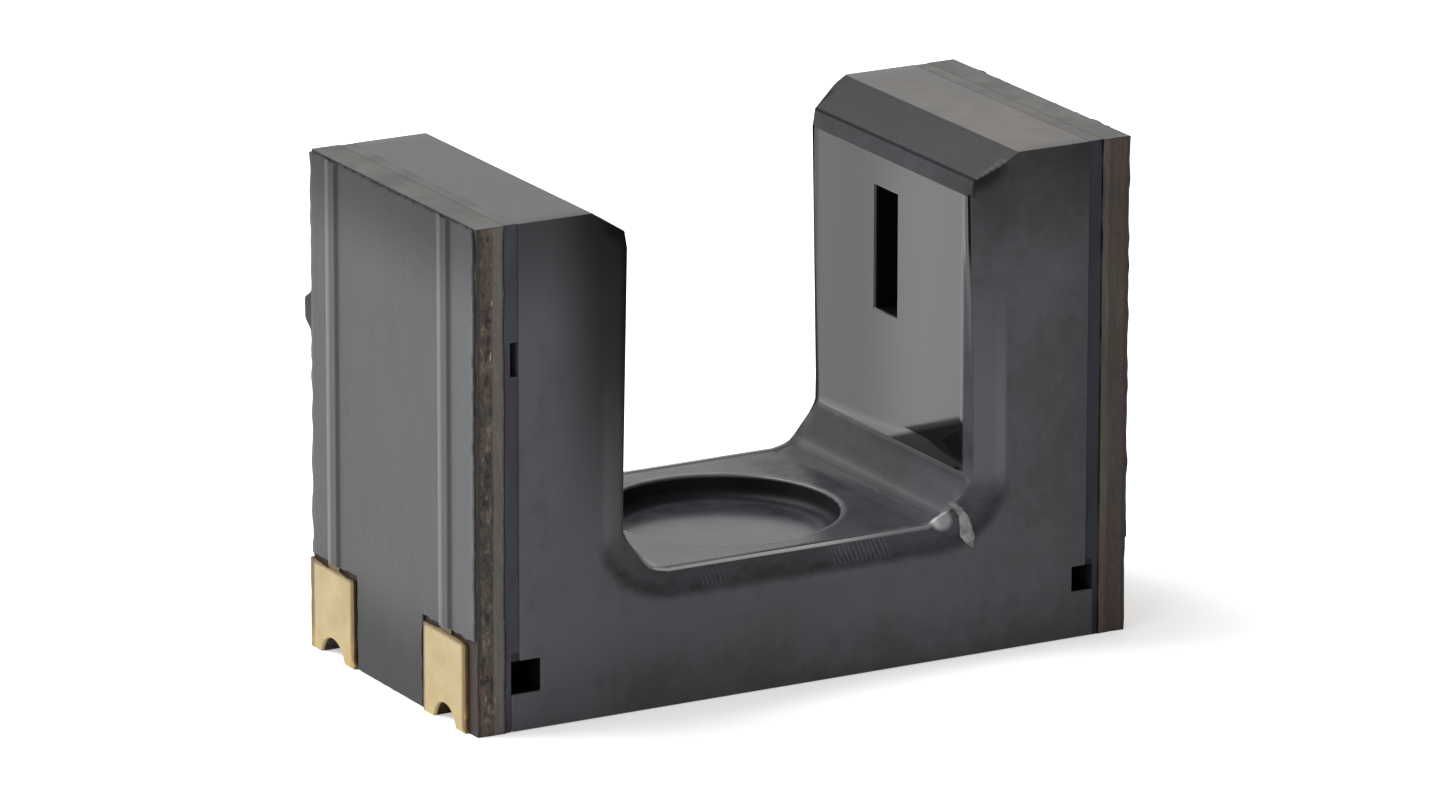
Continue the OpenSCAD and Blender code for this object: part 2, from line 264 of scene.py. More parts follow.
class Finish(Net):
    """The node tree of one material, with places in millimetres."""

    def __init__(self, name, **constants):
        self.material = bpy.data.materials.new(name)
        self.material.use_nodes = True
        super().__init__(self.material.node_tree)
        self.shader = self.tree.nodes["Principled BSDF"]
        for socket, value in constants.items():
            self.shader.inputs[socket.replace("_", " ")].default_value = value
        coordinate = self.node("TexCoord", {}, {}, "Object")
        in_mm = {"Vector": coordinate, "Scale": 1 / MM}
        self.place = self.node("VectorMath", {"operation": "SCALE"}, in_mm)
        self.x = self.node("SeparateXYZ", {}, [self.place], "X")
        self.y = self.node("SeparateXYZ", {}, [self.place], "Y")
        self.z = self.node("SeparateXYZ", {}, [self.place], "Z")

    def stretched(self, stretch):
        """The place, with features on it lengthened by stretch along each axis."""
        if stretch is None:
            return self.place
        return self.node("VectorMath", {"operation": "DIVIDE"}, [self.place, stretch])

    def noise(self, scale, detail=2.0, roughness=0.5, stretch=None):
        """Noise with scale features a millimetre; stretch lengthens them along an axis."""
        values = {
            "Vector": self.stretched(stretch), "Scale": scale,
            "Detail": detail, "Roughness": roughness,
        }
        return self.node("TexNoise", {}, values)

    def top_face(self):
        """1 on the upper face, where case and boards were ground flat together."""
        return self.z.ramp(HEIGHT - 0.006, HEIGHT - 0.002)

    def mix(self, amount, first, second):
        """A colour between first and second."""
        # A Mix node has one set of sockets for each kind of data: these are the colour ones
        return self.node("Mix", {"data_type": "RGBA"}, {0: amount, 6: first, 7: second}, 2)

    def finish(self, color, roughness, metallic=None, coat=None, height=None, depth=0.01):
        """Links what changes over the surface. height is the bump, and depth its size in millimetres."""
        varying = {
            "Base Color": color, "Roughness": roughness,
            "Metallic": metallic, "Coat Weight": coat,
        }
        for socket, value in varying.items():
            if value is not None:
                self.link(value, self.shader.inputs[socket])
        if height is not None:
            bump = self.node("Bump", {}, {"Height": height, "Distance": depth * MM})
            self.link(bump, self.shader.inputs["Normal"])
        return self.material

    def dull(self, amount, color):
        """Mixes in a matt finish with no gloss by amount, mostly as painted shade."""
        matt = self.tree.nodes.new("ShaderNodeBsdfPrincipled")
        matt.inputs["Base Color"].default_value = color
        matt.inputs["Roughness"].default_value = 0.9
        matt.inputs["Specular IOR Level"].default_value = 0.0
        mixed = self.tree.nodes.new("ShaderNodeMixShader")
        self.link(amount, mixed.inputs["Fac"])
        self.tree.links.new(self.shader.outputs[0], mixed.inputs[1])
        self.tree.links.new(matt.outputs[0], mixed.inputs[2])
        output = self.tree.nodes["Material Output"]
        self.tree.links.new(mixed.outputs[0], output.inputs["Surface"])


def rgb(red, green, blue):
    return (red, green, blue, 1.0)


# Materials

# The case's black with its cloudy tone, and the colours of its painted light, highlights and shade
CASE_DARK = rgb(0.018, 0.0162, 0.0200)
CASE_PALE = rgb(0.039, 0.0355, 0.0425)
CASE_LEFT = rgb(0.056, 0.052, 0.060)
# Colours of painted highlights and painted light on the lips, bevels, bead and blob
CASE_HIGHLIGHT = rgb(0.16, 0.155, 0.16)
BEVEL_LIT = rgb(0.068, 0.064, 0.071)
BEVEL_RIM_HIGHLIGHT = rgb(0.11, 0.105, 0.115)
BEAD_HIGHLIGHT = rgb(0.34, 0.335, 0.34)
BLOB_HIGHLIGHT_DIM = rgb(0.19, 0.185, 0.19)
BLOB_HIGHLIGHT_BRIGHT = rgb(0.40, 0.395, 0.40)
WALL_BLACK = rgb(0.018, 0.018, 0.019)
MATT_BLACK = rgb(0.004, 0.004, 0.005)

# Faces that were ground flat at the top
CUT_DARK = rgb(0.052, 0.050, 0.049)
CUT_PALE = rgb(0.082, 0.079, 0.074)
GROUND_LEFT = rgb(0.060, 0.059, 0.059)
GROUND_RIGHT = rgb(0.088, 0.080, 0.070)

# A painted dark reflection low on the right wall: height of its upper edge amid the wall, and how that
# falls
REFLECTION_TOP = 1.445
REFLECTION_FALL = 0.364

# The fine marks below the floor: how closely they stand, and how much they waver
COMB_TEETH = 157
COMB_WAVER = 7


class CaseBlack(Finish):
    """The case's black plastic: polished in the slot, matt outside, with the marks of its mould and
    painted light and shade.

    Each find method works out where some of its parts are, as 0 to 1 over the surface.
    """

    def __init__(self):
        constants = {"IOR": 1.52, "Specular_IOR_Level": 0.32, "Coat_Roughness": 0.06, "Coat_IOR": 1.6}
        super().__init__("moulded_black", **constants)
        self.cloud = self.noise(1.1, 5.0, 0.62)
        self.fine = self.noise(7.0, 5.0, 0.65)
        self.grain = self.noise(26.0, 3.0, 0.6)
        self.drag = self.noise(4.0, 3.0, 0.6, stretch=(1.0, 1.0, 14.0))
        self.tone = self.cloud * 0.55 + self.fine * 0.25 + self.drag * 0.2
        self.front = abs(self.y)
        self.side = abs(self.x)
        self.right = self.x.ramp(-0.1, 0.1)
        self.left = 1 - self.right
        self.ground = self.top_face()

    def find_slot(self):
        """Inside the slot, behind its mouths: the polished walls, the floor and the round corners."""
        inside = self.front.ramp(MOUTH_Y + 0.002, MOUTH_Y - 0.002)
        self.inside = inside * self.side.ramp(SLOT_HALF + 0.02, SLOT_HALF + 0.01)
        wall = self.inside * self.side.ramp(SLOT_HALF - 0.012, SLOT_HALF - 0.006)
        wall = wall * self.z.band(CORNER_Z + 0.02, BAND_FOOT - 0.004, 0.008)
        self.wall = wall * self.front.ramp(MOUTH_Y - STRIP_WIDTH + 0.01, MOUTH_Y - STRIP_WIDTH)
        self.floor = self.inside * self.z.band(FLOOR_Z - 0.006, FLOOR_Z + 0.03, 0.01)
        self.corner = self.inside * self.z.band(FLOOR_Z + 0.05, CORNER_Z, 0.02)
        # A painted dark reflection low on the right wall, whose upper edge falls towards the back
        under_film = REFLECTION_TOP - self.y * REFLECTION_FALL - self.z
        self.dark_reflection = self.wall * self.right * under_film.ramp(-0.01, 0.05)
        # A faint smear on the floor, right of the dish
        smear = self.x.band(0.85, 1.12, 0.12) * self.y.band(0.1, 0.9, 0.3)
        self.smear = self.floor * smear * self.fine.ramp(0.35, 0.6)

    def find_slopes(self):
        """The slopes at the top, the narrow strip below them and the line between, darkened as painted
        shade.
        """
        self.below = SLOPE_FOOT + (self.side - SLOPE_IN) * SLOPE_RISE - self.z
        slope = self.side.band(SLOPE_IN + 0.01, SLOPE_IN + SLOPE_WIDTH - 0.01, 0.008)
        self.slope = slope * self.below.ramp(0.012, 0.004)
        strip = self.side.ramp(SLOPE_IN + 0.02, SLOPE_IN + 0.01)
        self.strip = strip * self.z.ramp(BAND_FOOT - 0.01, BAND_FOOT + 0.01)
        self.line = self.strip * self.z.band(SLOPE_FOOT - 0.008, SLOPE_FOOT + 0.006, 0.012)

    def find_dish(self):
        """The dish: a smooth floor, its wall darkened as painted shade, a painted highlight ring round
        it and painted shade over the rim in front.
        """
        reach = (self.x * self.x + self.y * self.y).root()
        depth = FLOOR_Z - self.z
        bottom = depth.ramp(DISH_DEPTH - 0.02, DISH_DEPTH - 0.004)
        self.dish = reach.ramp(DISH_R - 0.06, DISH_R - 0.22) * bottom
        wall = reach.band(DISH_R - 0.03, DISH_R + 0.01, 0.14)
        self.dish_wall = wall * depth.band(0.03, DISH_DEPTH + 0.01, 0.012)
        self.ring = reach.band(DISH_R + 0.005, DISH_R + 0.03, 0.03) * depth.ramp(0.03, 0.02) * self.floor
        near = self.y.ramp(-0.15, -0.45) * depth.ramp(0.06, 0.03)
        self.near_rim = reach.band(DISH_R - 0.035, DISH_R + 0.02, 0.01) * near

    def find_bevel(self):
        """The bevel at the mouth: painted light on the arms, a painted highlight along its outer edge,
        painted shade under the slopes and a painted highlight line at their edge.
        """
        self.outside = self.front.ramp(MOUTH_Y + 0.002, MOUTH_Y + 0.01)
        bevel = self.outside * self.side.ramp(MOUTH_SIDE + 0.02, MOUTH_SIDE - 0.01)
        self.bevel = bevel * self.z.ramp(MOUTH_FOOT - 0.02, MOUTH_FOOT + 0.02)
        self.pale = self.bevel * self.z.ramp(1.24, 1.50) * self.z.ramp(3.1, 1.9)
        self.rim = self.pale * self.side.band(MOUTH_SIDE - 0.06, MOUTH_SIDE - 0.02, 0.03)
        brow = self.below.ramp(0.17, 0.05) * self.side.ramp(MOUTH_SIDE + 0.05, MOUTH_SIDE - 0.10)
        self.brow = self.bevel * brow
        self.lip = self.bevel * self.below.band(0.0, 0.008, 0.006) * self.y.ramp(0.1, -0.1)

    def find_marks(self):
        """The border below the floor's edge, darkened as painted shade over a rough, blotchy finish, and
        the rows of fine upright marks in it.
        """
        blotch = self.noise(13.0, 3.0, 0.6, stretch=(1.6, 1.0, 1.0)).ramp(0.42, 0.66)
        wide = (self.side - CORNER_X).upper(0.0) * (1 / (CORNER_R + MOUTH_WIDTH))
        deep = (CORNER_Z - self.z).upper(0.0) * (1 / (CORNER_R + MOUTH_HEIGHT))
        round_slot = (wide * wide + deep * deep).root() + 0.08 * (self.fine - 0.5)
        border = round_slot.ramp(1.15, 0.98) * self.z.ramp(CORNER_Z + 0.06, CORNER_Z - 0.20)
        self.under = self.outside * border * (0.20 + 0.26 * round_slot.ramp(0.78, 0.98) + 0.14 * blotch)
        self.comb = (self.x * COMB_TEETH + COMB_WAVER * self.fine).sine()
        patches = self.x.band(-0.88, -0.72, 0.06).upper(self.x.band(0.32, 0.70, 0.10))
        self.marks = self.comb.ramp(-0.2, 0.9) * patches * self.z.band(0.93, 1.02, 0.03)

    def find_bead(self):
        """The bead along the floor's edge with its painted highlight, the painted shadow behind it and
        the blob at its right end.
        """
        bead_back = MOUTH_Y - BEAD_WIDTH
        bead = self.inside * self.front.ramp(bead_back, bead_back + 0.015)
        self.bead = bead * self.z.ramp(FLOOR_Z + 0.34, FLOOR_Z + 0.18) * self.x.ramp(1.35, 1.2)
        bead_shadow = self.front.band(bead_back - 0.032, bead_back - 0.012, 0.012)
        self.bead_shadow = self.floor * bead_shadow * self.x.band(-0.3, 1.15, 0.3)
        across = self.x - BLOB_X
        ahead = self.y + BLOB_Y
        up = self.z - BLOB_Z
        away = (across * across + ahead * ahead + up * up).root()
        self.blob = away.ramp(BLOB_R, BLOB_R * 0.5)

    def find_lips(self):
        """Painted highlights on the lips at both sides of each round corner's flat band, and painted
        shade at the foot below.
        """
        lip_x = CORNER_X + CORNER_R * math.sin(BAND_START)
        lip_z = CORNER_Z - CORNER_R * math.cos(BAND_START)
        along = (self.side - lip_x) * math.cos(BAND_START) + (self.z - lip_z) * math.sin(BAND_START)
        low = self.inside * self.z.ramp(1.25, 1.2)
        self.foot = low * along.band(-0.075, -0.035, 0.02)
        lower = low * along.band(-0.010, 0.010, 0.014)
        upper = self.z.band(CORNER_Z - 0.012, CORNER_Z + 0.006, 0.01) * self.side.ramp(1.44, 1.46)
        self.lips = (lower * 0.5).upper(self.inside * upper)

    def find_openings(self):
        """The narrow openings, painted black as shade: light slits, pockets and the groove in the mouth.
        """
        slit = self.side.ramp(SLOT_HALF + 0.01, SLOT_HALF + 0.03)
        slit = slit * self.front.ramp(SLIT_REACH + 0.02, SLIT_REACH)
        slit = slit * self.z.band(SLIT_LOW, SLIT_HIGH, 0.01)
        pocket = self.side.ramp(CASE_END - 0.20, CASE_END - 0.185)
        pocket = pocket * self.front.ramp(HALF_DEPTH - 0.008, HALF_DEPTH - 0.02)
        pocket = pocket * self.z.band(POCKET_LOW, POCKET_HIGH, 0.01)
        groove = self.inside * self.front.band(MOUTH_Y - 0.036, MOUTH_Y - 0.002, 0.004)
        groove = groove * self.z.ramp(CORNER_Z - 0.05, CORNER_Z + 0.05)
        groove = groove * self.z.ramp(BAND_FOOT + 0.05, BAND_FOOT)
        self.black = slit.upper(pocket).upper(groove)

    def colored(self):
        """The colour: clouded black, paler towards the left end and low on the faces, with painted light
        on the bevels and painted highlights on the slopes' edge, the lips, the dish's ring, the bead and
        the blob.
        """
        far_left = self.left * self.x.ramp(-1.3, -2.0) * self.tone.ramp(0.25, 0.5)
        foot = self.outside * self.z.ramp(1.05, 0.85) * self.z.ramp(0.25, 0.55)
        # Painted highlights on the corner lips and round the dish, left off the front rim
        lit = (self.lips * 0.25).upper(self.ring * 0.4) * (1 - self.near_rim)
        warm = self.mix(self.x.ramp(0.5, 2.0), GROUND_LEFT, GROUND_RIGHT)
        ground = self.mix(self.tone.ramp(0.40, 0.60) * 0.6 + self.drag * 0.4, CUT_DARK, warm)
        # The blob's colour is a painted highlight, brightest on its left
        blob = self.mix(self.x.ramp(BLOB_X, BLOB_X - 0.08), BLOB_HIGHLIGHT_DIM, BLOB_HIGHLIGHT_BRIGHT)
        layers = (
            (far_left * 0.75, CASE_LEFT),
            (foot * 0.35, CASE_LEFT),
            (self.pale * 0.75, BEVEL_LIT),
            (self.rim * (0.25 - 0.15 * self.left), BEVEL_RIM_HIGHLIGHT),
            (self.lip * self.comb.ramp(-0.9, 0.0) * 0.4, CASE_HIGHLIGHT),
            (lit, CASE_HIGHLIGHT),
            (self.bead * (0.35 + 0.6 * self.x.ramp(1.0, 0.0)), BEAD_HIGHLIGHT),
            (self.blob, blob),
            (self.slope * 0.5, MATT_BLACK),
            (self.wall, WALL_BLACK),
            (self.ground, ground),
        )
        color = self.mix(self.tone.ramp(0.40, 0.60), CASE_DARK, CASE_PALE)
        for amount, layer in layers:
            color = self.mix(amount, color, layer)
        return color

    def roughened(self):
        """The roughness: matt outside, smoother on the floor and in the dish, polished on the walls."""
        rough = 0.40 + 0.2 * self.tone + 0.1 * self.slope
        for part, smooth in ((self.floor, 0.28), (self.dish, 0.20), (self.wall, 0.07)):
            rough = rough * (1 - part) + smooth * part
        return rough

    def shaded(self):
        """How much of the gloss gives way to matt black: in the dark parts, mostly painted shade, and as
        painted shade towards the top, the slot and the ends.
        """
        # Painted shade on the left arm's bevel, near the slot
        slot_edge = self.side.ramp(SLOT_HALF + 0.10, SLOT_HALF + 0.01) * self.z.ramp(1.2, 1.5)
        darks = (
            self.under * (1 - self.marks * 0.85),
            self.brow * (1 - self.lip) * 0.65,
            self.line * 0.8,
            self.slope * 0.42,
            self.strip * 0.38,
            self.corner * 0.38,
            self.foot * 0.4,
            self.bead_shadow * 0.5,
            self.floor * self.x.ramp(0.2, 0.9) * (0.18 + 0.2 * self.smear),
            self.wall * self.y.ramp(-0.6, 0.6) * 0.32,
            self.bevel * self.left * slot_edge * 0.75,
            self.dark_reflection * 0.85,
            self.near_rim * 0.22,
            self.dish_wall * 0.72,
            self.black,
        )
        dark = darks[0]
        for other in darks[1:]:
            dark = dark.upper(other)
        # Painted shade on the outer faces: towards the top, towards the slot on the left arm and towards
        # the right end
        face = self.outside * (1 - self.ground) * (1 - self.slope)
        upward = face * self.z.ramp(3.0, 4.05) * 0.50
        slotward = face * self.left * self.z.ramp(0.9, 3.2) * self.x.ramp(-2.35, -1.75) * 0.75
        filmward = face * self.right * self.side.ramp(2.1, 2.5) * 0.18
        clear = (1 - dark) * (1 - upward) * (1 - slotward) * (1 - filmward)
        return (1 - clear) * (1 - self.blob)


def case_material():
    """The case's finish, from all that the finds gave."""
    net = CaseBlack()
    net.find_slot()
    net.find_slopes()
    net.find_dish()
    net.find_bevel()
    net.find_marks()
    net.find_bead()
    net.find_lips()
    net.find_openings()
    polish = (net.wall * 0.35).upper(net.dish * 0.06).upper(net.floor * net.x.ramp(0.2, -0.8) * 0.10)
    height = (net.grain * 0.25 + net.fine * 0.4) * (1 - net.wall) * (1 - net.dish)
    height = height + net.under * net.marks * 3
    net.dull(net.shaded(), MATT_BLACK)
    return net.finish(net.colored(), net.roughened(), coat=polish, height=height, depth=0.006)


def burr_material():
    # Paler than the case: a painted highlight on the real burr along the bevel's corner
    net = Finish("burr_black_highlight", IOR=1.52, Specular_IOR_Level=0.35)
    fine = net.noise(16.0, 4.0, 0.65)
    color = net.mix(fine.ramp(0.35, 0.65), rgb(0.085, 0.082, 0.087), rgb(0.20, 0.195, 0.20))
    return net.finish(color, 0.34 + 0.2 * fine, height=fine, depth=0.01)


# Places across the boards: the frayed part, the left one's grey layer, the right one's dark part
FRAYED = (2.74, 2.84)
GREY_LAYER = (-2.71, -2.65)
DARKER_FROM = 0.05


def laminate_material():
    net = Finish("glass_epoxy", IOR=1.5, Specular_IOR_Level=0.25)
    side = abs(net.x)
    left = net.x.ramp(0.1, -0.1)
    cloud = net.noise(2.6, 4.0, 0.6)
    fibre = net.noise(14.0, 3.0, 0.6, stretch=(1.0, 1.0, 14.0))
    broad = net.noise(8.0, 2.0, 0.5, stretch=(1.0, 1.0, 20.0))
    frayed = net.noise(22.0, 4.0, 0.7, stretch=(1.0, 1.0, 2.2))
    knots = net.noise(12.0, 2.0, 0.5, stretch=(0.6, 1.0, 2.5))
    # Resin with glass fibres along the board, pale and dark
    color = net.mix(cloud.ramp(0.3, 0.7), rgb(0.040, 0.033, 0.026), rgb(0.062, 0.049, 0.038))
    color = net.mix(broad.ramp(0.42, 0.62) * 0.7, color, rgb(0.080, 0.052, 0.040))
    color = net.mix(fibre.ramp(0.5, 0.7) * 0.5, color, rgb(0.100, 0.090, 0.076))
    color = net.mix(fibre.ramp(0.42, 0.3) * 0.6, color, rgb(0.018, 0.015, 0.013))
    # The left board is more frayed, with a greyer layer near the case
    edge = frayed.ramp(0.50, 0.62) * side.band(*FRAYED, 0.03)
    color = net.mix(edge * (0.25 + 0.6 * left), color, rgb(0.010, 0.007, 0.007))
    color = net.mix(frayed.ramp(0.44, 0.34) * left * 0.6, color, rgb(0.17, 0.145, 0.11))
    color = net.mix(knots.ramp(0.68, 0.76) * (0.3 + 0.7 * left), color, rgb(0.26, 0.23, 0.18))
    layer = net.x.band(*GREY_LAYER, 0.02)
    color = net.mix(layer * 0.65, color, rgb(0.115, 0.108, 0.108))
    # The right board is darker, but for the layer next to the case
    deeper = (1 - left) * side.ramp(BOARD_INNER + DARKER_FROM, BOARD_INNER + DARKER_FROM + 0.03)
    color = net.mix(deeper * 0.42, color, rgb(0.008, 0.007, 0.007))
    # Darker next to the tracks, with an uneven border, and black on the inner face as painted shade in
    # the case's pockets
    border = side + 0.05 * net.noise(4.0, 3.0, 0.6)
    color = net.mix(border.ramp(BOARD_FACE - 0.016, BOARD_FACE) * 0.8, color, rgb(0.024, 0.019, 0.017))
    color = net.mix(side.ramp(BOARD_INNER + 0.015, BOARD_INNER + 0.003), color, rgb(0.008, 0.007, 0.008))
    # The upper edge was ground with the case
    top = net.top_face()
    cut = net.mix(cloud.ramp(0.3, 0.7), rgb(0.042, 0.040, 0.038), rgb(0.070, 0.067, 0.062))
    color = net.mix(top, color, cut)
    rough = 0.62 + 0.2 * fibre - 0.2 * top
    height = (fibre + frayed * (0.4 + left) + knots * left) * (1 - top)
    # Painted shade: matt black on the inner face
    net.dull(side.ramp(BOARD_INNER + 0.006, BOARD_INNER + 0.001), rgb(0.004, 0.004, 0.004))
    return net.finish(color, rough, height=height, depth=0.016)


def mask_material():
    net = Finish("solder_mask", IOR=1.52, Specular_IOR_Level=0.32)
    cloud = net.noise(1.1, 4.0, 0.55)
    grain = net.noise(28.0, 2.0, 0.5)
    flow = net.noise(2.2, 2.0, 0.5, stretch=(1.0, 1.0, 2.5))
    color = net.mix(cloud.ramp(0.3, 0.7), rgb(0.018, 0.018, 0.020), rgb(0.028, 0.028, 0.030))
    # Paler beside the front edge; painted shade at the foot of each ridge's front side and a painted
    # highlight on its rear side; painted highlights along the front and rear edges
    color = net.mix(net.y.ramp(FRONT_Y - 0.10, FRONT_Y - 0.16) * 0.4, color, rgb(0.056, 0.056, 0.061))
    for middle in (FRONT_Y, REAR_Y):
        shade = net.y.band(middle - RIDGE_HALF - 0.01, middle - RIDGE_HALF + 0.02, 0.02)
        shine = net.y.band(middle + RIDGE_HALF - 0.065, middle + RIDGE_HALF - 0.015, 0.02)
        color = net.mix(shade * 0.75, color, rgb(0.008, 0.008, 0.009))
        color = net.mix(shine * 0.6, color, rgb(0.12, 0.12, 0.125))
    edge_highlight = abs(net.y).ramp(HALF_DEPTH - 0.06, HALF_DEPTH - 0.03)
    color = net.mix(edge_highlight * flow.ramp(0.3, 0.6) * 0.5, color, rgb(0.10, 0.10, 0.105))
    # Duller towards the top and the bottom, and painted shade along the front and rear edges
    ends = net.z.ramp(3.2, 4.0).upper(net.z.ramp(1.0, 0.25)) * 0.40
    sides = abs(net.y).ramp(HALF_DEPTH - 0.026, HALF_DEPTH - 0.018) * 0.6
    net.dull(ends.upper(sides), MATT_BLACK)
    return net.finish(color, 0.36 + 0.12 * cloud, height=grain * 0.25 + flow, depth=0.006)


def gold_material():
    net = Finish("gold_plate", Metallic=1.0)
    cloud = net.noise(3.5, 4.0, 0.6)
    grain = net.noise(40.0, 3.0, 0.6)
    color = net.mix(cloud.ramp(0.3, 0.7), rgb(0.33, 0.26, 0.128), rgb(0.395, 0.325, 0.195))
    # Brown along the borders, most on the side towards the front
    brown = net.noise(7.0, 3.0, 0.6) * 0.03
    for middle in (FRONT_Y, REAR_Y):
        off = net.y - middle
        far_rim = (off + brown).ramp(PAD_HALF - 0.02, PAD_HALF + 0.01)
        near_rim = (brown - off).ramp(PAD_HALF - 0.065, PAD_HALF - 0.01)
        rim = far_rim.upper(near_rim) * abs(off).ramp(PAD_HALF + 0.2, PAD_HALF + 0.15)
        color = net.mix(rim * 0.85, color, rgb(0.105, 0.062, 0.027))
    upper_rim = (net.z + brown).ramp(PAD_TOP - 0.03, PAD_TOP + 0.01)
    color = net.mix(upper_rim * 0.8, color, rgb(0.080, 0.050, 0.022))
    # Mottled along the half hole's rim, and dark brown inside the hole as painted shade
    inside = abs(net.x).ramp(BOARD_FACE + 0.012, BOARD_FACE - 0.004)
    low = net.z.ramp(0.3, 0.05) * net.noise(9.0, 3.0, 0.6).ramp(0.40, 0.60)
    color = net.mix(low * 0.6, color, rgb(0.42, 0.30, 0.12))
    color = net.mix(inside, color, rgb(0.045, 0.026, 0.010))
    rough = 0.42 + 0.16 * cloud + 0.2 * inside
    return net.finish(color, rough, height=grain * 0.4 + cloud, depth=0.005)


def copper_material():
    net = Finish("copper_land", Metallic=1.0)
    cloud = net.noise(5.0, 3.0, 0.6)
    color = net.mix(cloud, rgb(0.62, 0.30, 0.17), rgb(0.78, 0.44, 0.28))
    return net.finish(color, 0.35 + 0.2 * cloud, height=cloud, depth=0.003)


def film_material():
    net = Finish("bond_film", IOR=1.5, Specular_IOR_Level=0.3)
    cloud = net.noise(4.0, 4.0, 0.6, stretch=(1.0, 1.0, 3.0))
    color = net.mix(cloud.ramp(0.3, 0.7), rgb(0.016, 0.016, 0.024), rgb(0.030, 0.030, 0.042))
    top = net.top_face()
    color = net.mix(top, color, net.mix(cloud.ramp(0.3, 0.7), CUT_DARK, CUT_PALE))
    # Painted shade: black where the case's pockets lie behind it
    black = net.z.band(0.2, 0.62, 0.01) * abs(net.x).ramp(BOARD_INNER - 0.045, BOARD_INNER - 0.055)
    color = net.mix(black, color, rgb(0.002, 0.002, 0.002))
    net.dull(net.x.ramp(0.0, 0.1) * 0.4 * (1 - top), MATT_BLACK)
    return net.finish(color, 0.55 + 0.2 * cloud, height=cloud, depth=0.01)


def paste_material():
    net = Finish("silver_paste", Metallic=0.6)
    grain = net.noise(60.0, 3.0, 0.6)
    color = net.mix(grain.ramp(0.3, 0.7), rgb(0.38, 0.38, 0.40), rgb(0.62, 0.62, 0.64))
    return net.finish(color, 0.5 + 0.2 * grain, height=grain, depth=0.003)


def crystal_material(name, dark, light):
    net = Finish(name, IOR=3.4)
    grain = net.noise(14.0, 2.0, 0.5)
    color = net.mix(grain.ramp(0.35, 0.65), dark, light)
    return net.finish(color, 0.12 + 0.1 * grain, height=grain, depth=0.001)


def wire_material():
    net = Finish("gold_wire", Metallic=1.0)
    grain = net.noise(80.0, 2.0, 0.5)
    color = net.mix(grain, rgb(0.86, 0.66, 0.28), rgb(0.92, 0.76, 0.40))
    return net.finish(color, 0.2 + 0.1 * grain, height=grain, depth=0.001)


def resin_material():
    net = Finish("dark_resin", IOR=1.54, Coat_Weight=0.3)
    cloud = net.noise(3.0, 3.0, 0.5)
    color = net.mix(cloud.ramp(0.3, 0.7), rgb(0.008, 0.003, 0.003), rgb(0.020, 0.007, 0.006))
    return net.finish(color, 0.25 + 0.1 * cloud, height=cloud, depth=0.002)


# Modelling helpers

MERGE_REACH = 0.001
FLAT_ANGLE = math.radians(1)
SMOOTH_ANGLE = math.radians(35)


def choose(piece):
    """Selects a piece alone and makes it the active one."""
    bpy.ops.object.select_all(action="DESELECT")
    piece.select_set(True)
    bpy.context.view_layer.objects.active = piece


def edit(piece):
    """Goes into edit mode with all of a piece selected."""
    choose(piece)
    bpy.ops.object.mode_set(mode="EDIT")
    bpy.ops.mesh.select_all(action="SELECT")


def leave():
    bpy.ops.object.mode_set(mode="OBJECT")


def copy_of(node, name):
    """A merged copy of a CAD node's mesh, with its flat faces made whole."""
    choose(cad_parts[node])
    bpy.ops.object.duplicate()
    piece = bpy.context.view_layer.objects.active
    piece.name = name
    piece.hide_set(False)
    piece.hide_render = False
    edit(piece)
    bpy.ops.mesh.remove_doubles(threshold=MERGE_REACH * MM)
    bpy.ops.mesh.dissolve_limited(angle_limit=FLAT_ANGLE)
    leave()
    return piece


def finish_piece(piece, material, replaced):
    """Smooths a piece with its flat faces kept flat, gives it its material and body, and hides the CAD
    node it replaces.
    """
    piece.data.materials.clear()
    piece.data.materials.append(material)
    choose(piece)
    bpy.ops.object.shade_smooth_by_angle(angle=SMOOTH_ANGLE)
    flats = piece.modifiers.new("flats", "WEIGHTED_NORMAL")
    flats.keep_sharp = True
    bpy.ops.object.modifier_apply(modifier="flats")
    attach(piece, "root")
    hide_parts(replaced)


def round_edges(piece, radius_at, largest, sharpness):
    """Rounds each sharp edge by the radius that radius_at gives for its middle."""
    edit(piece)
    bpy.ops.mesh.select_mode(type="EDGE")
    bpy.ops.mesh.select_all(action="DESELECT")
    bpy.ops.mesh.edges_select_sharp(sharpness=math.radians(sharpness))
    leave()
    mesh = piece.data
    weights = mesh.attributes.new("bevel_weight_edge", "FLOAT", "EDGE")
    for edge in mesh.edges:
        if edge.select:
            first, second = (mesh.vertices[i].co for i in edge.vertices)
            weights.data[edge.index].value = radius_at((first + second) / 2 / MM) / largest
    choose(piece)
    bevel = piece.modifiers.new("bevel", "BEVEL")
    bevel.width = largest * MM
    bevel.segments = 4
    bevel.limit_method = "WEIGHT"
    bevel.use_clamp_overlap = True
    bpy.ops.object.modifier_apply(modifier="bevel")
    mesh.attributes.remove(mesh.attributes["bevel_weight_edge"])


def apply_bevel(piece, width, segments, angle):
    """Rounds the edges that are sharper than angle, in degrees."""
    choose(piece)
    bevel = piece.modifiers.new("bevel", "BEVEL")
    bevel.width = width * MM
    bevel.segments = segments
    bevel.limit_method = "ANGLE"
    bevel.angle_limit = math.radians(angle)
    bevel.use_clamp_overlap = True
    bpy.ops.object.modifier_apply(modifier="bevel")


def cut_at(piece, axis, levels):
    """Cuts a mesh by planes across an axis, at levels in millimetres."""
    normal = Vector((0, 0, 0))
    normal[axis] = 1
    edit(piece)
    for level in levels:
        bpy.ops.mesh.select_all(action="SELECT")
        bpy.ops.mesh.bisect(plane_co=normal * level * MM, plane_no=normal)
    leave()


